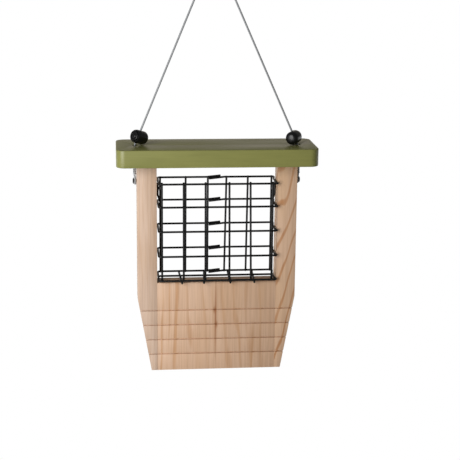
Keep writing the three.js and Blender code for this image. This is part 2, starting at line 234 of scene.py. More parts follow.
def pine(name, pale, warm, late, spacing, tilt, offset, edge, depth, faintest, streak_and_groove_shade=()):
    material = opened(name)
    place = put(material, "ShaderNodeTexCoord").outputs["Object"]
    turned_place = put(material, "ShaderNodeMapping",
                       [("Rotation", (0, math.radians(tilt), RING_SLANT)),
                        ("Location", (offset * MM, 0, 0))],
                       [("Vector", place)])
    # Growth rings wander, and are wide in one year and narrow in the next.
    drift_place = put(material, "ShaderNodeMapping",
                      [("Scale", per(34, 34, 190)), ("Location", (offset, 0, 0))], [("Vector", place)])
    drift = put(material, "ShaderNodeTexNoise", [("Scale", 1.0), ("Detail", 2.0)],
                [("Vector", drift_place)])
    along_x = put(material, "ShaderNodeCombineXYZ", [], [("X", drift)])
    wander = put(material, "ShaderNodeVectorMath", [("Scale", 0.034)], [("Vector", along_x)],
                 operation="SCALE")
    moved = put(material, "ShaderNodeVectorMath", [], [(0, turned_place), (1, wander)], operation="ADD")
    ring_scale = math.pi / (10 * spacing * math.cos(RING_SLANT) * MM)
    rings = put(material, "ShaderNodeTexWave", [("Scale", ring_scale), ("Distortion", 0.0)],
                [("Vector", moved)], wave_type="BANDS", bands_direction="X", wave_profile="SIN")
    line = put(material, "ShaderNodeMapRange",
               [("From Min", edge), ("From Max", 1.0), ("To Min", 0.0), ("To Max", depth)],
               [("Value", rings.outputs["Fac"])], interpolation_type="SMOOTHSTEP")
    # Some lines are faint and others plain.
    plain_place = put(material, "ShaderNodeMapping",
                      [("Scale", per(13, 40, 150)), ("Location", (0, offset, 3.0))], [("Vector", place)])
    plain = put(material, "ShaderNodeTexNoise", [("Scale", 1.0), ("Detail", 1.0)],
                [("Vector", plain_place)])
    plainness = put(material, "ShaderNodeMapRange",
                    [("From Min", 0.38), ("From Max", 0.66), ("To Min", faintest), ("To Max", 1.0)],
                    [("Value", plain)], interpolation_type="SMOOTHSTEP")
    strength = put(material, "ShaderNodeMath", [], [(0, line), (1, plainness)], operation="MULTIPLY")
    blotch_place = put(material, "ShaderNodeMapping",
                       [("Scale", per(17, 17, 70)), ("Location", (offset, 5, 0))], [("Vector", place)])
    blotch = put(material, "ShaderNodeTexNoise", [("Scale", 1.0), ("Detail", 2.0)],
                 [("Vector", blotch_place)])
    base = put(material, "ShaderNodeValToRGB", [], [("Fac", blotch)], stops=((0.35, pale), (0.7, warm)))
    lined = put(material, "ShaderNodeMix", [(MIX_OVER, colour(late))],
                [(MIX_SHARE, strength), (MIX_BASE, base)], data_type="RGBA")
    # Fibres about 0.7 mm wide, drawn a little coarser than real ones so that they show.
    fibre_place = put(material, "ShaderNodeMapping",
                      [("Scale", per(1.3, 1.3, 48)), ("Location", (0, 0, offset))], [("Vector", place)])
    fibre = put(material, "ShaderNodeTexNoise", [("Scale", 1.0), ("Detail", 4.0)],
                [("Vector", fibre_place)])
    fibre_share = put(material, "ShaderNodeMapRange",
                      [("From Min", 0.36), ("From Max", 0.66), ("To Min", 0.0), ("To Max", 0.15)],
                      [("Value", fibre)], interpolation_type="SMOOTHSTEP")
    result = put(material, "ShaderNodeMix", [(MIX_OVER, colour("8A6243"))],
                 [(MIX_SHARE, fibre_share), (MIX_BASE, lined.outputs[MIX_RESULT])],
                 data_type="RGBA", blend_type="MULTIPLY")
    # Dark marks: streaks in the wood, and painted shade where a short mark sits on a groove.
    for x, z, half_width, half_height, darkness in streak_and_groove_shade:
        apart = put(material, "ShaderNodeVectorMath", [(1, tuple(at(x, 0, z)))], [(0, place)],
                    operation="SUBTRACT")
        near = put(material, "ShaderNodeVectorMath", [(1, per(half_width, 12, half_height))],
                   [(0, apart)], operation="MULTIPLY")
        far = put(material, "ShaderNodeVectorMath", [], [(0, near)], operation="LENGTH")
        spot = put(material, "ShaderNodeMapRange",
                   [("From Min", 0.0), ("From Max", 1.0), ("To Min", darkness), ("To Max", 0.0)],
                   [("Value", far.outputs["Value"])], interpolation_type="SMOOTHSTEP")
        result = put(material, "ShaderNodeMix", [(MIX_OVER, colour("9A6136"))],
                     [(MIX_SHARE, spot), (MIX_BASE, result.outputs[MIX_RESULT])], data_type="RGBA")
    rough = put(material, "ShaderNodeMapRange",
                [("From Min", 0.36), ("From Max", 0.66), ("To Min", 0.48), ("To Max", 0.6)],
                [("Value", fibre)])
    relief = put(material, "ShaderNodeBump", [("Strength", 0.2), ("Distance", 0.0004)],
                 [("Height", fibre)])
    shader = put(material, "ShaderNodeBsdfPrincipled", [("IOR", 1.5), ("Specular IOR Level", 0.45)],
                 [("Base Color", result.outputs[MIX_RESULT]), ("Roughness", rough), ("Normal", relief)])
    put(material, "ShaderNodeOutputMaterial", [], [("Surface", shader)])
    return material


# Olive exterior wood paint, brushed on: it looks matt from the front and has a sheen at a low angle,
# with faint brush lines along the roof and the wood's grain just telegraphing through.
def olive_paint():
    material = opened("brushed_olive_wood_paint")
    place = put(material, "ShaderNodeTexCoord").outputs["Object"]
    wander_place = put(material, "ShaderNodeMapping", [("Scale", per(60, 22, 22))], [("Vector", place)])
    wander = put(material, "ShaderNodeTexNoise", [("Scale", 1.0), ("Detail", 3.0)],
                 [("Vector", wander_place)])
    base = put(material, "ShaderNodeValToRGB", [], [("Fac", wander)],
               stops=((0.35, "808147"), (0.68, "88884A")))
    brush_place = put(material, "ShaderNodeMapping", [("Scale", per(38, 1.6, 1.6))], [("Vector", place)])
    brush = put(material, "ShaderNodeTexNoise", [("Scale", 1.0), ("Detail", 4.0)],
                [("Vector", brush_place)])
    streak = put(material, "ShaderNodeMapRange",
                 [("From Min", 0.42), ("From Max", 0.7), ("To Min", 0.0), ("To Max", 0.08)],
                 [("Value", brush)], interpolation_type="SMOOTHSTEP")
    brushed = put(material, "ShaderNodeMix", [(MIX_OVER, colour("6D6A45"))],
                  [(MIX_SHARE, streak), (MIX_BASE, base)], data_type="RGBA", blend_type="MULTIPLY")
    rough = put(material, "ShaderNodeMapRange",
                [("From Min", 0.35), ("From Max", 0.68), ("To Min", 0.36), ("To Max", 0.44)],
                [("Value", wander)])
    relief = put(material, "ShaderNodeBump", [("Strength", 0.16), ("Distance", 0.0002)],
                 [("Height", brush)])
    shader = put(material, "ShaderNodeBsdfPrincipled", [("IOR", 1.5), ("Specular IOR Level", 0.5)],
                 [("Base Color", brushed.outputs[MIX_RESULT]), ("Roughness", rough), ("Normal", relief)])
    put(material, "ShaderNodeOutputMaterial", [], [("Surface", shader)])
    return material


# Steel wire under dip-coated black plastic: soft gloss that breaks up over a slightly lumpy film.
def coated_wire():
    material = opened("black_dip_coated_steel")
    place = put(material, "ShaderNodeTexCoord").outputs["Object"]
    film_place = put(material, "ShaderNodeMapping", [("Scale", per(5, 5, 5))], [("Vector", place)])
    film = put(material, "ShaderNodeTexNoise", [("Scale", 1.0), ("Detail", 3.0)],
               [("Vector", film_place)])
    base = put(material, "ShaderNodeValToRGB", [], [("Fac", film)],
               stops=((0.35, "09090A"), (0.7, "111112")))
    rough = put(material, "ShaderNodeMapRange",
                [("From Min", 0.35), ("From Max", 0.7), ("To Min", 0.4), ("To Max", 0.55)],
                [("Value", film)])
    lump_place = put(material, "ShaderNodeMapping", [("Scale", per(1.4, 1.4, 1.4))], [("Vector", place)])
    lump = put(material, "ShaderNodeTexNoise", [("Scale", 1.0), ("Detail", 3.0)],
               [("Vector", lump_place)])
    relief = put(material, "ShaderNodeBump", [("Strength", 0.25), ("Distance", 0.0002)],
                 [("Height", lump)])
    shader = put(material, "ShaderNodeBsdfPrincipled", [("IOR", 1.5), ("Specular IOR Level", 0.3)],
                 [("Base Color", base), ("Roughness", rough), ("Normal", relief)])
    put(material, "ShaderNodeOutputMaterial", [], [("Surface", shader)])
    return material


# Steel strand under a thin clear coat: plain grey, with painted shade in the valleys between its wires.
def strand_steel():
    material = opened("clear_coated_steel_strand")
    valley_shade = put(material, "ShaderNodeAttribute", attribute_name="valley_shade").outputs["Fac"]
    # Painted shade: the grey darkens from A2A4A6 to 76787A towards the bottom of each valley between the
    # outer wires.
    base = put(material, "ShaderNodeValToRGB", [], [("Fac", valley_shade)],
               stops=((0.0, "A2A4A6"), (0.7, "909294"), (1.0, "76787A")))
    place = put(material, "ShaderNodeTexCoord").outputs["Object"]
    patch_place = put(material, "ShaderNodeMapping", [("Scale", per(9, 9, 9))], [("Vector", place)])
    patch = put(material, "ShaderNodeTexNoise", [("Scale", 1.0), ("Detail", 3.0)],
                [("Vector", patch_place)])
    rough = put(material, "ShaderNodeMapRange",
                [("From Min", 0.35), ("From Max", 0.7), ("To Min", 0.45), ("To Max", 0.6)],
                [("Value", patch)])
    shader = put(material, "ShaderNodeBsdfPrincipled", [("Metallic", 0.25), ("IOR", 1.5)],
                 [("Base Color", base), ("Roughness", rough)])
    put(material, "ShaderNodeOutputMaterial", [], [("Surface", shader)])
    return material


# Bright or plated metal small parts, with a fine tumbled unevenness.
def plated(name, dark, light, smoothest, roughest):
    material = opened(name)
    place = put(material, "ShaderNodeTexCoord").outputs["Object"]
    patch_place = put(material, "ShaderNodeMapping", [("Scale", per(2.2, 2.2, 2.2))],
                      [("Vector", place)])
    patch = put(material, "ShaderNodeTexNoise", [("Scale", 1.0), ("Detail", 4.0)],
                [("Vector", patch_place)])
    base = put(material, "ShaderNodeValToRGB", [], [("Fac", patch)], stops=((0.35, dark), (0.7, light)))
    rough = put(material, "ShaderNodeMapRange",
                [("From Min", 0.35), ("From Max", 0.7), ("To Min", smoothest), ("To Max", roughest)],
                [("Value", patch)])
    relief = put(material, "ShaderNodeBump", [("Strength", 0.12), ("Distance", 0.0001)],
                 [("Height", patch)])
    shader = put(material, "ShaderNodeBsdfPrincipled", [("Metallic", 1.0)],
                 [("Base Color", base), ("Roughness", rough), ("Normal", relief)])
    put(material, "ShaderNodeOutputMaterial", [], [("Surface", shader)])
    return material


# Injection-moulded acetal, black, with a fine spark-eroded grain that gives a satin gloss.
def moulded_black():
    material = opened("black_moulded_acetal")
    place = put(material, "ShaderNodeTexCoord").outputs["Object"]
    tone_place = put(material, "ShaderNodeMapping", [("Scale", per(7, 7, 7))], [("Vector", place)])
    tone = put(material, "ShaderNodeTexNoise", [("Scale", 1.0), ("Detail", 2.0)],
               [("Vector", tone_place)])
    base = put(material, "ShaderNodeValToRGB", [], [("Fac", tone)],
               stops=((0.35, "08080A"), (0.7, "0E0E10")))
    rough = put(material, "ShaderNodeMapRange",
                [("From Min", 0.35), ("From Max", 0.7), ("To Min", 0.3), ("To Max", 0.38)],
                [("Value", tone)])
    grain_place = put(material, "ShaderNodeMapping", [("Scale", per(0.45, 0.45, 0.45))],
                      [("Vector", place)])
    grain = put(material, "ShaderNodeTexNoise", [("Scale", 1.0), ("Detail", 2.0)],
                [("Vector", grain_place)])
    relief = put(material, "ShaderNodeBump", [("Strength", 0.12), ("Distance", 0.0001)],
                 [("Height", grain)])
    shader = put(material, "ShaderNodeBsdfPrincipled", [("IOR", 1.48)],
                 [("Base Color", base), ("Roughness", rough), ("Normal", relief)])
    put(material, "ShaderNodeOutputMaterial", [], [("Surface", shader)])
    return material


# --- Making pieces ---

def fresh():
    """Leaves edit mode and deselects everything, so that the next operator acts on new work alone."""
    if bpy.context.mode != "OBJECT":
        bpy.ops.object.mode_set(mode="OBJECT")
    bpy.ops.object.select_all(action="DESELECT")


def only(piece):
    fresh()
    piece.select_set(True)
    bpy.context.view_layer.objects.active = piece


def edit(piece):
    only(piece)
    bpy.ops.object.mode_set(mode="EDIT")
    bpy.ops.mesh.select_mode(type="VERT")
    bpy.ops.mesh.select_all(action="SELECT")


def settle(piece):
    """Puts the object's place, turn and scale into its mesh."""
    only(piece)
    bpy.ops.object.transform_apply(location=True, rotation=True, scale=True)


def outward(piece):
    edit(piece)
    bpy.ops.mesh.normals_make_consistent(inside=False)
    fresh()


def bevelled(piece, width, segments=2, angle=35):
    only(piece)
    modifier = piece.modifiers.new("soft edges", "BEVEL")
    modifier.width, modifier.segments = width * MM, segments
    modifier.limit_method, modifier.angle_limit = "ANGLE", math.radians(angle)
    bpy.ops.object.modifier_apply(modifier=modifier.name)


def smooth(piece, angle=32):
    only(piece)
    bpy.ops.object.shade_smooth_by_angle(angle=math.radians(angle))


def cut(piece, tool):
    only(piece)
    modifier = piece.modifiers.new("cut", "BOOLEAN")
    modifier.operation, modifier.solver, modifier.object = "DIFFERENCE", "EXACT", tool
    bpy.ops.object.modifier_apply(modifier=modifier.name)
    bpy.data.objects.remove(tool, do_unlink=True)


def box(name, low, high):
    """A cube primitive between two corners given in millimetres on the board."""
    fresh()
    low, high = at(*low), at(*high)
    bpy.ops.mesh.primitive_cube_add(size=1, location=(low + high) / 2)
    piece = bpy.context.object
    piece.name = name
    piece.scale = high - low
    settle(piece)
    return piece


def joined(pieces):
    fresh()
    for piece in pieces:
        piece.select_set(True)
    bpy.context.view_layer.objects.active = pieces[0]
    bpy.ops.object.join()
    return pieces[0]


def copied(piece, name, place):
    """A copy with a mesh of its own, placed by a matrix that then goes into the mesh."""
    copy = piece.copy()
    copy.data = piece.data.copy()
    copy.name = name
    bpy.context.scene.collection.objects.link(copy)
    copy.matrix_world = place
    settle(copy)
    return copy


def turned(name, profile, centre, axis, sides=40):
    """A turned solid: profile is (radius, distance along the axis), from one pole to the other."""
    fresh()
    (_, pole), (radius, along) = profile[0], profile[1]
    bpy.ops.mesh.primitive_circle_add(vertices=sides, radius=radius * MM, fill_type="NOTHING",
                                      location=(0, 0, along * MM))
    piece = bpy.context.object
    piece.name = name
    settle(piece)
    edit(piece)
    bpy.ops.mesh.extrude_region_move(TRANSFORM_OT_translate={"value": (0, 0, (pole - along) * MM)})
    bpy.ops.mesh.merge(type="CENTER")
    bpy.ops.mesh.select_all(action="DESELECT")
    bpy.ops.mesh.select_non_manifold()
    for wide, far in profile[2:]:
        bpy.ops.mesh.extrude_region_move(TRANSFORM_OT_translate={"value": (0, 0, (far - along) * MM)})
        if wide:
            scale = wide / radius
            bpy.ops.transform.resize(value=(scale, scale, 1), center_override=(0, 0, far * MM))
            radius = wide
        along = far
    bpy.ops.mesh.merge(type="CENTER")
    fresh()
    piece.rotation_euler = Vector(axis).to_track_quat("Z", "Y").to_euler()
    piece.location = centre
    settle(piece)
    outward(piece)
    return piece


def bent_wire(name, corners):
    """A round wire through corners of (x, y, z, bend radius), run out straight and spun at bends."""
    fresh()
    points = [at(*c[:3]) for c in corners]
    headings = [(b - a).normalized() for a, b in zip(points, points[1:])]
    bpy.ops.mesh.primitive_circle_add(
        vertices=WIRE_SIDES, radius=WIRE_RADIUS * MM, fill_type="NOTHING", location=points[0],
        rotation=headings[0].to_track_quat("Z", "Y").to_euler())
    piece = bpy.context.object
    piece.name = name
    settle(piece)
    edit(piece)
    here = points[0]
    for i, heading in enumerate(headings):
        last = i == len(headings) - 1
        turn = 0 if last else heading.angle(headings[i + 1])
        bend = 0 if last else corners[i + 1][3] * MM
        setback = bend * math.tan(turn / 2)
        stop = points[i + 1] - heading * setback
        bpy.ops.mesh.extrude_region_move(TRANSFORM_OT_translate={"value": stop - here})
        if turn:
            axis = heading.cross(headings[i + 1]).normalized()
            bpy.ops.mesh.spin(steps=max(3, round(turn * 5)), angle=-turn, axis=axis,
                              center=stop + axis.cross(heading) * bend)
            here = points[i + 1] + headings[i + 1] * setback
    bpy.ops.mesh.select_all(action="DESELECT")
    bpy.ops.mesh.select_non_manifold()
    bpy.ops.mesh.edge_face_add()
    outward(piece)
    bevelled(piece, WIRE_RADIUS * 0.4, 3, 60)
    smooth(piece, 50)
    return piece


def dress(piece, node, material, rides=True):
    """The piece stands for the CAD node, on its body and in its material slot."""
    piece.data.materials.clear()
    piece.data.materials.append(material)
    if rides:
        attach(piece, BODY_OF[node])
    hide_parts(node)


# --- Hanger cable ---

def eye_end(side):
    """From the crimped end, round the eye's screw and up to the roof's hole."""
    near, far = CABLE_DEPTH + LEG_SPACING / 2, CABLE_DEPTH - LEG_SPACING / 2
    middle, below = (FERRULE_TOP + FERRULE_BOTTOM) / 2, FERRULE_BOTTOM - LEG_BELOW
    points = [(side * LEG_X, near, z) for z in (FERRULE_TOP + CUT_END, middle, below)]
    for angle in range(40, 321, 14):
        t = math.radians(angle)
        points.append((side * EYE_X, CABLE_DEPTH + EYE_RADIUS * math.sin(t),
                       EYE_Z + EYE_RADIUS * math.cos(t)))
    points += [(side * LEG_X, far, z) for z in (below, middle, FERRULE_TOP)]
    points.append((side * 82.7, CABLE_DEPTH - 0.6, -1))
    points.append((side * 82.5, CABLE_DEPTH - 0.1, 2.5))
    return [Vector(p) for p in points]


def rounded_corner(before, corner, after, radius, steps=10):
    """The points of an arc that rounds a corner."""
    back, ahead = (before - corner).normalized(), (after - corner).normalized()
    half = back.angle(ahead) / 2
    centre = corner + (back + ahead).normalized() * radius / math.sin(half)
    start = corner + back * radius / math.tan(half) - centre
    end = corner + ahead * radius / math.tan(half) - centre
    axis, turn = start.cross(end).normalized(), start.angle(end)
    return [centre + Quaternion(axis, turn * k / steps) @ start for k in range(steps + 1)]


def hanger_route():
    """The cable's centre line in millimetres, from one crimped end to the other."""
    feet = {side: Vector((x, CABLE_DEPTH, ROOF_TOP)) for side, x in FEET.items()}
    peak = Vector((PEAK[0], CABLE_DEPTH, PEAK[1]))
    holes = {side: Vector((x, CABLE_DEPTH, IN_HOLES_HEIGHT)) for side, x in IN_HOLES.items()}
    route = eye_end(-1) + [holes[-1]]
    route += rounded_corner(holes[-1], feet[-1], peak, FOOT_BEND)
    route += rounded_corner(feet[-1], peak, feet[1], HOOK_BEND)
    route += rounded_corner(peak, feet[1], holes[1], FOOT_BEND)
    return route + [holes[1]] + eye_end(1)[::-1]


def evenly(points, step):
    """A smooth line through the points, with one point about every step millimetres."""
    ends = [points[0] * 2 - points[1]] + points + [points[-1] * 2 - points[-2]]
    line = []
    for p0, p1, p2, p3 in zip(ends, ends[1:], ends[2:], ends[3:]):
        span = (p2 - p1).length
        lead, trail = (p2 - p0).normalized() * span, (p3 - p1).normalized() * span
        count = max(1, round(span / step))
        for k in range(count):
            t = k / count
            line.append(p1 * (2 * t ** 3 - 3 * t ** 2 + 1) + lead * (t ** 3 - 2 * t ** 2 + t)
                        + p2 * (3 * t ** 2 - 2 * t ** 3) + trail * (t ** 3 - t ** 2))
    return line + [points[-1]]


def strand_mesh(name, line, sides=24):
    """Six outer wires laid round a core: a lobed section that turns once every lay length."""
    shape = bmesh.new()
    # The valley mask, which carries the painted shade into the cable's colour.
    valley_shade = shape.verts.layers.float.new("valley_shade")
    ahead = (line[1] - line[0]).normalized()
    side = ahead.orthogonal().normalized()
    travelled, rings = 0.0, []
    for i, point in enumerate(line):
        following = (line[min(i + 1, len(line) - 1)] - line[max(i - 1, 0)]).normalized()
        side = ahead.rotation_difference(following) @ side
        ahead = following
        if i:
            travelled += (point - line[i - 1]).length
        twist = 2 * math.pi * travelled / CABLE_LAY
        cross = ahead.cross(side)
        ring = []
        for k in range(sides):
            around = 2 * math.pi * k / sides
            low = (1 - math.cos(CABLE_WIRES * around)) / 2
            radius = CABLE_RADIUS * (1 - VALLEY_DEPTH * low)
            turn = around + twist
            spot = point + (side * math.cos(turn) + cross * math.sin(turn)) * radius
            vertex = shape.verts.new(at(*spot))
            vertex[valley_shade] = low
            ring.append(vertex)
        rings.append(ring)
    for first, second in zip(rings, rings[1:]):
        for k in range(sides):
            n = (k + 1) % sides
            shape.faces.new((first[k], first[n], second[n], second[k]))
    shape.faces.new(rings[0][::-1])
    shape.faces.new(rings[-1])
    bmesh.ops.recalc_face_normals(shape, faces=shape.faces)
    mesh = bpy.data.meshes.new(name)
    shape.to_mesh(mesh)
    shape.free()
    piece = bpy.data.objects.new(name, mesh)
    bpy.context.scene.collection.objects.link(piece)
    return piece


def add_cable(material):
    line = evenly(hanger_route(), 1.0)
    cable = strand_mesh("steel_hanger_cable", line)
    smooth(cable, 60)
    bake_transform(cable)
    dress(cable, "hanger_cable", material, rides=False)


# --- Timber ---

def groove_cutter():
    return joined([
        box("kerf", (-95, -GROOVE_DEPTH, z - GROOVE_WIDTH / 2), (95, GROOVE_DEPTH, z + GROOVE_WIDTH / 2))
        for z in GROOVES])


def add_upright(node, side, material):
    low, high = sorted((side * WINDOW_HALF, side * BOARD_HALF))
    upright = box(node + "_timber", (low, 0, BOARD_BOTTOM), (high, BOARD_DEPTH, -ROOF_GAP))
    edit(upright)
    outer_top, outer_foot = at(side * BOARD_HALF, 0, TAPER_TOP), at(side * BOTTOM_HALF, 0, BOARD_BOTTOM)
    slope = (outer_foot - outer_top).cross(Vector((0, side, 0)))
    bpy.ops.mesh.bisect(plane_co=outer_top, plane_no=slope, use_fill=True,
                        clear_outer=slope.x * side > 0, clear_inner=slope.x * side <= 0)
    outward(upright)
    cut(upright, groove_cutter())
    bevelled(upright, TIMBER_EDGE)
    smooth(upright)
    dress(upright, node, material)


def add_tail_panel(material):
    half = WINDOW_HALF - GLUE_LINE
    panel = box("tail_panel_timber", (-half, 0, BOARD_BOTTOM), (half, BOARD_DEPTH, WINDOW_SILL))
    cut(panel, groove_cutter())
    bevelled(panel, TIMBER_EDGE)
    smooth(panel)
    dress(panel, "tail_panel", material)


def add_roof(material):
    fresh()
    bpy.ops.mesh.primitive_cube_add(size=1, location=(roof_low + roof_high) / 2)
    roof = bpy.context.object
    roof.name = "roof_board"
    roof.scale = roof_high - roof_low
    settle(roof)
    edit(roof)
    bpy.ops.mesh.select_mode(type="EDGE")
    bpy.ops.mesh.select_all(action="DESELECT")
    shape = bmesh.from_edit_mesh(roof.data)
    for edge in shape.edges:
        run = edge.verts[0].co - edge.verts[1].co
        edge.select_set(abs(run.z) > 0.9 * run.length)
    bmesh.update_edit_mesh(roof.data)
    bpy.ops.mesh.bevel(offset=ROOF_CORNER * MM, segments=12)
    for side in (-1, 1):
        fresh()
        bpy.ops.mesh.primitive_cylinder_add(
            vertices=40, radius=ROOF_HOLE_RADIUS * MM, depth=(ROOF_TOP + 6) * MM,
            location=at(side * ROOF_HOLE_X, CABLE_DEPTH, ROOF_TOP / 2))
        drill = bpy.context.object
        settle(drill)
        cut(roof, drill)
    bevelled(roof, ROOF_EDGE, 3)
    smooth(roof)
    dress(roof, "roof", material)


# --- Fixings ---

def add_ferrule(node, side, material):
    """An oval sleeve pressed down over both legs of the cable, with three crimps."""
    fresh()
    middle = at(side * LEG_X, CABLE_DEPTH, FERRULE_BOTTOM)
    bpy.ops.mesh.primitive_circle_add(vertices=36, radius=FERRULE_HALF * MM, fill_type="NOTHING",
                                      location=middle)
    sleeve = bpy.context.object
    sleeve.name = node + "_sleeve"
    settle(sleeve)
    for way in (-1, 1):
        edit(sleeve)
        bpy.ops.mesh.select_all(action="DESELECT")
        shape = bmesh.from_edit_mesh(sleeve.data)
        for vertex in shape.verts:
            vertex.select_set((vertex.co.y - middle.y) * way > 0.05 * MM)
        bmesh.update_edit_mesh(sleeve.data)
        bpy.ops.transform.translate(value=(0, way * LEG_SPACING / 2 * MM, 0))
    edit(sleeve)
    height = FERRULE_TOP - FERRULE_BOTTOM
    full, crimp, rim = 1.0, FERRULE_CRIMP, FERRULE_RIM
    sections = [(0.02, full), (0.12, full), (0.2, crimp), (0.3, crimp), (0.38, full), (0.44, crimp),
                (0.56, crimp), (0.62, full), (0.7, crimp), (0.8, crimp), (0.88, full), (0.98, full),
                (1.0, rim)]
    share, width = 0.0, rim
    bpy.ops.transform.resize(value=(width, width, 1), center_override=middle)
    for further, wide in sections:
        rise = (further - share) * height * MM
        bpy.ops.mesh.extrude_region_move(TRANSFORM_OT_translate={"value": (0, 0, rise)})
        ratio = wide / width
        bpy.ops.transform.resize(value=(ratio, ratio, 1), center_override=middle)
        share, width = further, wide
    bpy.ops.mesh.select_all(action="DESELECT")
    bpy.ops.mesh.select_non_manifold()
    bpy.ops.mesh.edge_face_add()
    outward(sleeve)
    smooth(sleeve, 40)
    dress(sleeve, node, material)


def add_screw(node, centre, axis, head, rise, shank, length, material):
    """A round-headed screw with a cross recess. Centre is under its head, and the axis points out."""
    dome = [(head * math.cos(math.radians(a)), rise * (0.2 + 0.8 * math.sin(math.radians(a))))
            for a in (0, 18, 36, 54, 70)]
    profile = [(0, -length), (shank * 0.4, -length + shank), (shank, -length + 2.4 * shank), (shank, 0),
               (head * 0.97, 0), *dome, (0, rise)]
    screw = turned(node + "_turned", profile, centre, axis)
    arms = []
    for turn in (0, 90):
        fresh()
        bpy.ops.mesh.primitive_cube_add(size=1, location=(0, 0, rise * MM))
        arm = bpy.context.object
        arm.scale = Vector((head * 1.05, head * 0.26, rise * 0.9)) * MM
        arm.rotation_euler = (0, 0, math.radians(turn + 20))
        settle(arm)
        arm.rotation_euler = Vector(axis).to_track_quat("Z", "Y").to_euler()
        arm.location = centre
        settle(arm)
        arms.append(arm)
    for arm in arms:
        cut(screw, arm)
    smooth(screw, 40)
    dress(screw, node, material)


# --- Cord locks ---

def lock_axes(side):
    """The cable's direction at a lock, and the barrel's. The left barrel stands square to the
    cable, and the right one lies almost level, with its bore aslant."""
    foot = Vector((FEET[side], CABLE_DEPTH, ROOF_TOP))
    up = (Vector((PEAK[0], CABLE_DEPTH, PEAK[1])) - foot).normalized()
    turn = math.radians(LOCK_TURN[side])
    out = Vector((side * math.sin(turn), side * math.cos(turn), 0))
    if side < 0:
        out -= up * out.dot(up)
    else:
        out.z = LOCK_RISE
    return up, out.normalized()


BARREL = ((0, -10.6), (2.2, -10.52), (3.6, -10.2), (4.7, -9.7), (5.5, -9.0), (6.1, -8.15), (6.5, -7.2),
          (LOCK_RADIUS, -6.2), (LOCK_RADIUS, 2.4), (6.6, 3.3), (6.4, 4.1), (6.15, 4.8), (5.95, 5.12),
          (5.7, 5.2), (5.5, 5.15), (LOCK_INSIDE, 4.9), (LOCK_INSIDE, -6.6), (0, -6.6))


def lock_centre(side, up, out):
    """Where the cable crosses the barrel's axis, with the barrel just clear of the roof."""
    lowest = min(u * out.z - r * math.hypot(out.x, out.y) for r, u in BARREL)
    foot = Vector((FEET[side], CABLE_DEPTH, ROOF_TOP))
    return at(*(foot + up * (LOCK_CLEAR - lowest) / up.z))


def add_lock(prefix, side, plastic, steel):
    up, out = lock_axes(side)
    centre = lock_centre(side, up, out)
    barrel = turned(prefix + "_lock_barrel", BARREL, centre, out, 64)
    fresh()
    bpy.ops.mesh.primitive_cylinder_add(vertices=32, radius=LOCK_BORE * MM, depth=24 * MM,
                                        location=centre, rotation=up.to_track_quat("Z", "Y").to_euler())
    bore = bpy.context.object
    settle(bore)
    cut(barrel, bore)
    smooth(barrel, 40)
    dress(barrel, prefix + "_lock_body", plastic)

    button = turned(prefix + "_lock_button", [
        (0, BUTTON_BACK), (BUTTON_RADIUS, BUTTON_BACK), (BUTTON_RADIUS, 5.5), (4.9, 5.85), (4.6, 6.1),
        (4.2, 6.2), (3.9, 6.15), (3.7, 5.9), (3.5, 5.65), (2.3, 5.65), (2.1, 5.9), (1.9, 6.1),
        (1.3, 6.2), (0, 6.2)], centre, out, 56)
    fresh()
    bpy.ops.mesh.primitive_cube_add(size=1)
    window = bpy.context.object
    window.scale = Vector((BUTTON_SLOT + BUTTON_TRAVEL, 3, 3 * BUTTON_RADIUS)) * MM
    settle(window)
    square = (up - out * up.dot(out)).normalized()
    window.rotation_euler = Matrix((out, square.cross(out), square)).transposed().to_euler()
    window.location = centre + out * BUTTON_TRAVEL / 2 * MM
    settle(window)
    cut(button, window)
    smooth(button, 40)
    dress(button, prefix + "_lock_plunger", plastic)
    add_coil(prefix, centre, out, steel)


def add_coil(prefix, centre, out, steel):
    """The compression spring behind the button."""
    fresh()
    wire, radius, turns = 0.3, 3.4, 5
    length = (BUTTON_BACK - 0.3) - COIL_BACK - 2 * wire
    bpy.ops.mesh.primitive_circle_add(vertices=8, radius=wire * MM, fill_type="NGON",
                                      location=(radius * MM, 0, wire * MM),
                                      rotation=(math.radians(90), 0, 0))
    coil = bpy.context.object
    coil.name = prefix + "_lock_coil"
    settle(coil)
    screw = coil.modifiers.new("wound", "SCREW")
    screw.axis, screw.angle, screw.iterations = "Z", 2 * math.pi, turns
    screw.screw_offset = length / turns * MM
    screw.steps = screw.render_steps = 28
    bpy.ops.object.modifier_apply(modifier=screw.name)
    edit(coil)
    bpy.ops.mesh.remove_doubles(threshold=1e-6)
    bpy.ops.mesh.select_all(action="DESELECT")
    bpy.ops.mesh.select_non_manifold()
    bpy.ops.mesh.edge_face_add()
    fresh()
    coil.rotation_euler = out.to_track_quat("Z", "Y").to_euler()
    coil.location = centre + out * COIL_BACK * MM
    settle(coil)
    outward(coil)
    smooth(coil, 60)
    dress(coil, prefix + "_lock_spring", steel)
    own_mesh(coil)


# --- Cage ---

def add_rings(material):
    z = RING_HEIGHTS[0]
    ring = bent_wire("cage_ring_1_wire", [
        (-LAP_HALF, CAGE_BACK, z - LAP_DROP, 0),
        (10, CAGE_BACK, z, 15),
        (CAGE_SIDE + 2.2, CAGE_BACK, z, 3),
        (CAGE_SIDE + 0.2, BOARD_DEPTH, z, 20),
        (CAGE_SIDE, 2, z, 12),
        (CAGE_EAR, CAGE_FRONT, z, 1.6),
        (-CAGE_SIDE, CAGE_FRONT, z, 3),
        (-CAGE_SIDE, CAGE_BACK, z, 3),
        (-9, CAGE_BACK, z, 15),
        (LAP_HALF, CAGE_BACK, z + LAP_RISE, 0),
    ])
    for i, height in enumerate(RING_HEIGHTS[1:], 2):
        place = Matrix.Translation((0, 0, (height - z) * MM))
        dress(copied(ring, f"cage_ring_{i}_wire", place), f"cage_ring_{i}", material)
    dress(ring, "cage_ring_1", material)


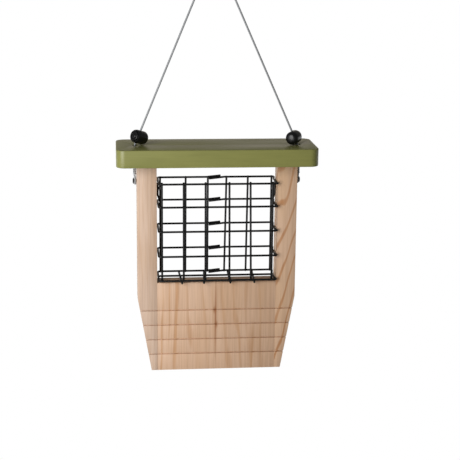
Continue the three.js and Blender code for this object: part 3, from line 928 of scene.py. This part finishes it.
def welds(points, lean):
    """Small upset beads where two wires were pressed together, flattened along the press."""
    beads = []
    for point in points:
        fresh()
        bpy.ops.mesh.primitive_uv_sphere_add(segments=12, ring_count=8, radius=1.0 * MM,
                                             location=at(*point))
        bead = bpy.context.object
        bead.scale = lean
        settle(bead)
        smooth(bead, 80)
        beads.append(bead)
    return beads


def add_bars(material):
    sink = 2 * WIRE_RADIUS + WIRE_GAP - WELD_SINK
    floor, above_top = RING_HEIGHTS[-1], RING_HEIGHTS[0] + BAR_ABOVE
    for row, places, ring_y, way, foot in (
            ("front", FRONT_BARS, CAGE_FRONT, 1, floor - FRONT_BAR_BELOW),
            ("back", BACK_BARS, CAGE_BACK, -1, floor - BACK_BAR_BELOW)):
        y = ring_y + way * sink
        x = places[0][0]
        rod = bent_wire(f"cage_{row}_bar_1_wire", [(x, y, above_top, 0), (x, y, foot, 0)])
        beads = welds([(x, ring_y + way * sink / 2, z) for z in RING_HEIGHTS], (1.15, 0.75, 1.15))
        rod = joined([rod, *beads])
        for i, (above, below) in enumerate(places[1:], 2):
            lean = math.atan2(above - below, above_top - foot)
            place = (Matrix.Translation(at(above, y, above_top)) @ Matrix.Rotation(lean, 4, "Y")
                     @ Matrix.Translation(-at(x, y, above_top)))
            dress(copied(rod, f"cage_{row}_bar_{i}_wire", place), f"cage_{row}_bar_{i}", material)
        dress(rod, f"cage_{row}_bar_1", material)
    for i, (x, tilt) in enumerate(FLOOR_BARS, 1):
        z, lean = floor - sink, tilt / 2
        rod = bent_wire(f"cage_floor_bar_{i}_wire",
                        [(x - lean, CAGE_BACK + 1.6, z, 0), (x + lean, CAGE_FRONT - 2.6, z, 0)])
        across = (CROSS_BAR_DEPTH - CAGE_BACK) / (CAGE_FRONT - CAGE_BACK)
        beads = welds([(x - lean * 0.93, CAGE_BACK, floor - sink / 2),
                       (x - lean + 2 * lean * across, CROSS_BAR_DEPTH, floor - sink / 2),
                       (x + lean * 0.93, CAGE_FRONT, floor - sink / 2)], (1.15, 1.15, 0.75))
        dress(joined([rod, *beads]), f"cage_floor_bar_{i}", material)
    reach = CAGE_SIDE - 2 * WIRE_RADIUS + WELD_SINK - WIRE_GAP
    cross = bent_wire("cage_floor_cross_wire", [(-reach, CROSS_BAR_DEPTH, floor, 0),
                                                (reach, CROSS_BAR_DEPTH, floor, 0)])
    beads = welds([(s * (reach + 0.2), CROSS_BAR_DEPTH, floor) for s in (-1, 1)], (0.9, 1.2, 1.15))
    dress(joined([cross, *beads]), "cage_floor_cross_bar", material)


def add_stay(node, side, material):
    outer = side * (CAGE_SIDE + STAY_OUT)
    inner = side * (CAGE_SIDE - 2 * WIRE_RADIUS - WIRE_GAP + WELD_SINK)
    stay = bent_wire(node + "_wire", [
        (outer, STAY_DEPTH, STAY_TOP, 0),
        (outer, STAY_DEPTH, RING_HEIGHTS[1] + 9.5, 8),
        (inner, STAY_DEPTH, RING_HEIGHTS[1] + 3, 3),
        (inner, STAY_DEPTH, RING_HEIGHTS[1] - 2.5, 0),
    ])
    beads = welds([(side * (CAGE_SIDE - 1), STAY_DEPTH, RING_HEIGHTS[1])], (0.8, 1.15, 1.15))
    dress(joined([stay, *beads]), node, material)


# --- Studio ---

STUDIO_SIZE = 90
FLOOR_HEIGHT = -1.1
SWEEP_HEIGHT = -1.12


def unlit_white():
    """Matt white card lit so evenly that it shows no shade."""
    material = opened("white_backdrop_card")
    card = put(material, "ShaderNodeEmission", [("Color", (1, 1, 1, 1)), ("Strength", 1.0)])
    put(material, "ShaderNodeOutputMaterial", [], [("Surface", card)])
    return material


def seen_only(piece):
    """Part of the backdrop: it shows, and neither lights nor shades the feeder."""
    piece.visible_diffuse = piece.visible_glossy = piece.visible_transmission = False
    piece.visible_volume_scatter = piece.visible_shadow = False


def add_floor():
    """A plain white floor that meets a white backdrop all round."""
    white = unlit_white()
    fresh()
    bpy.ops.mesh.primitive_plane_add(size=STUDIO_SIZE, location=(0, 0, FLOOR_HEIGHT))
    floor = bpy.context.object
    floor.name = "studio_floor"
    fresh()
    bpy.ops.mesh.primitive_uv_sphere_add(segments=48, ring_count=24, radius=15)
    backdrop = bpy.context.object
    backdrop.name = "studio_backdrop"
    for piece in (floor, backdrop):
        settle(piece)
        piece.data.materials.append(white)
        seen_only(piece)


def add_sweep_glow():
    """Light thrown up by the lit ground behind the feeder, which isn't seen itself."""
    fresh()
    bpy.ops.mesh.primitive_plane_add(size=STUDIO_SIZE, location=(0, 0, SWEEP_HEIGHT))
    sweep = bpy.context.object
    sweep.name = "studio_sweep"
    settle(sweep)
    material = opened("lit_white_sweep")
    place = put(material, "ShaderNodeTexCoord").outputs["Object"]
    split = put(material, "ShaderNodeSeparateXYZ", [], [("Vector", place)])
    glow = put(material, "ShaderNodeMapRange",
               [("From Min", 0.5), ("From Max", 1.3), ("To Min", 0.0), ("To Max", 1.0)],
               [("Value", split.outputs["Y"])], interpolation_type="SMOOTHSTEP")
    shader = put(material, "ShaderNodeBsdfPrincipled",
                 [("Base Color", colour("F4F4F4")), ("Roughness", 0.8),
                  ("Emission Color", (1, 1, 1, 1))],
                 [("Emission Strength", glow)])
    put(material, "ShaderNodeOutputMaterial", [], [("Surface", shader)])
    sweep.data.materials.append(material)
    sweep.visible_camera = False


def add_softbox(name, azimuth, elevation, distance, size, power, tone="FFFFFF"):
    a, e = math.radians(azimuth), math.radians(elevation)
    away = Vector((math.sin(a) * math.cos(e), -math.cos(a) * math.cos(e), math.sin(e)))
    data = bpy.data.lights.new(name, "AREA")
    data.shape, (data.size, data.size_y), data.energy = "RECTANGLE", size, power
    data.color = colour(tone)[:3]
    light = bpy.data.objects.new(name, data)
    bpy.context.scene.collection.objects.link(light)
    light.location = at(0, 0, -70) + away * distance
    light.rotation_mode = "QUATERNION"
    light.rotation_quaternion = (-away).to_track_quat("-Z", "Y")


def add_room_light(strength):
    world = bpy.data.worlds.new("studio")
    bpy.context.scene.world = world
    world.use_nodes = True
    backdrop = world.node_tree.nodes["Background"]
    backdrop.inputs["Color"].default_value = (1, 1, 1, 1)
    backdrop.inputs["Strength"].default_value = strength


add_camera()
add_cable(strand_steel())

pine_left = pine("planed_pine_left", "D8BCA6", "CDAE93", "C7A07E", 7, 0.5, 5.0, 0.65, 0.3, 0.3)
pine_right = pine("planed_pine_right", "D6B395", "D2AD8A", "B0743F", 14, -20, 6.0, 0.84, 0.85, 0.7)
# The tail's long mark is a dark streak in the wood; the two short marks on the grooves at -153 and
# -168.7 are painted shade.
pine_tail = pine("planed_pine_tail", "DBB89B", "D3AD8C", "BB8552", 12, 0.8, 4.6, 0.62, 0.62, 0.12,
                 ((-1, -163, 1.9, 62, 0.85), (-1.9, -153.5, 2.6, 6, 0.8), (-0.2, -169, 2.3, 6, 0.75)))
painted = olive_paint()
add_upright("left_upright", -1, pine_left)
add_upright("right_upright", 1, pine_right)
add_tail_panel(pine_tail)
add_roof(painted)

sleeve_metal = plated("crimped_aluminium", "8E9092", "B5B7B9", 0.35, 0.5)
screw_metal = plated("dark_plated_steel", "3A3836", "55524F", 0.25, 0.4)
spring_metal = plated("bright_spring_steel", "9FA1A3", "C2C4C6", 0.2, 0.32)
plastic = moulded_black()
wire = coated_wire()
for prefix, side in (("left", -1), ("right", 1)):
    add_ferrule(prefix + "_ferrule", side, sleeve_metal)
    add_screw(prefix + "_eye_screw", at(side * (EYE_X + HEAD_OUT), CABLE_DEPTH, EYE_Z),
              (side, 0, 0), *EYE_SCREW, screw_metal)
    add_screw(prefix + "_cage_screw",
              at(side * (CAGE_SIDE + STAY_OUT - HEAD_OUT), STAY_DEPTH + 2.6, RING_HEIGHTS[0] - 7.5),
              (-side, 0, 0), *CAGE_SCREW, screw_metal)
    add_lock(prefix, side, plastic, spring_metal)
    add_stay(f"cage_{prefix}_stay", side, wire)
add_rings(wire)
add_bars(wire)

add_floor()
add_sweep_glow()
add_softbox("key softbox", -40, 9, 0.85, (0.5, 0.7), 8.0)
add_softbox("back softbox", 174, 13, 2.0, (2.5, 0.8), 3.2, "FFF0DC")
add_room_light(0.15)
bpy.context.scene.view_settings.view_transform = "Standard"
